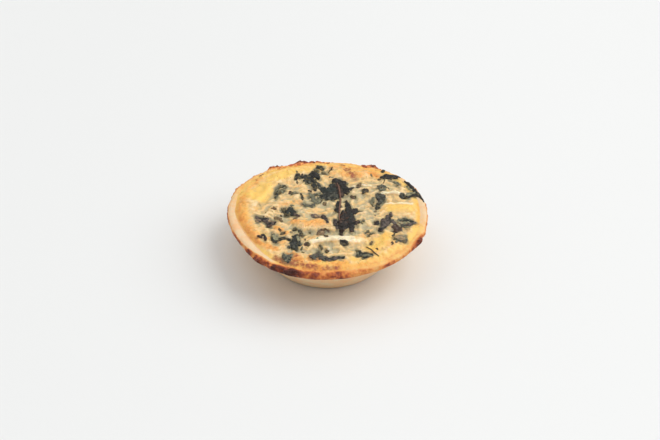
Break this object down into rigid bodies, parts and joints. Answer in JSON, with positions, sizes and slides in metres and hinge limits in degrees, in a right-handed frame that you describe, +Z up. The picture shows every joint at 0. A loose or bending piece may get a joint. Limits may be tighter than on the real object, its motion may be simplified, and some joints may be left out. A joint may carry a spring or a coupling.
{
  "type": "individual quiche",
  "caption": "Small round open quiche with a hand-pressed pastry case, a browned egg and cheese filling and dark wilted spinach leaves on top.",
  "frame": {"origin": "centre of the flat base, on the surface that the quiche stands on", "axes": "+Z up through the middle of the quiche, -Y towards the side that the picture shows in front, +X to its right"},
  "size_m": [0.1096, 0.108, 0.0312],
  "materials": {
    "pastry": "baked pastry, pale on the wall and browned at the rim",
    "egg": "set egg and melted cheese, soft sheen, golden to orange where baked",
    "leaf": "wilted leaf, dark green to black, moist"
  },
  "bodies": {
    "root": {"pastry_case": "pastry", "egg_filling": "egg", "leaf_back_long": "leaf", "leaf_back_fork": "leaf", "leaf_centre_back": "leaf", "leaf_centre_teal": "leaf", "leaf_centre_sunk": "leaf", "leaf_heart": "leaf", "leaf_grey": "leaf", "leaf_back_right": "leaf", "leaf_rim_right": "leaf", "leaf_right_purple": "leaf", "leaf_right_small": "leaf", "leaf_right_long": "leaf", "leaf_right_front": "leaf", "leaf_front_right": "leaf", "leaf_front": "leaf", "leaf_front_left": "leaf", "leaf_roll": "leaf", "leaf_fold_left": "leaf", "leaf_left_strand": "leaf", "leaf_left_mid": "leaf", "leaf_left_back": "leaf"}
  },
  "joints": []
}
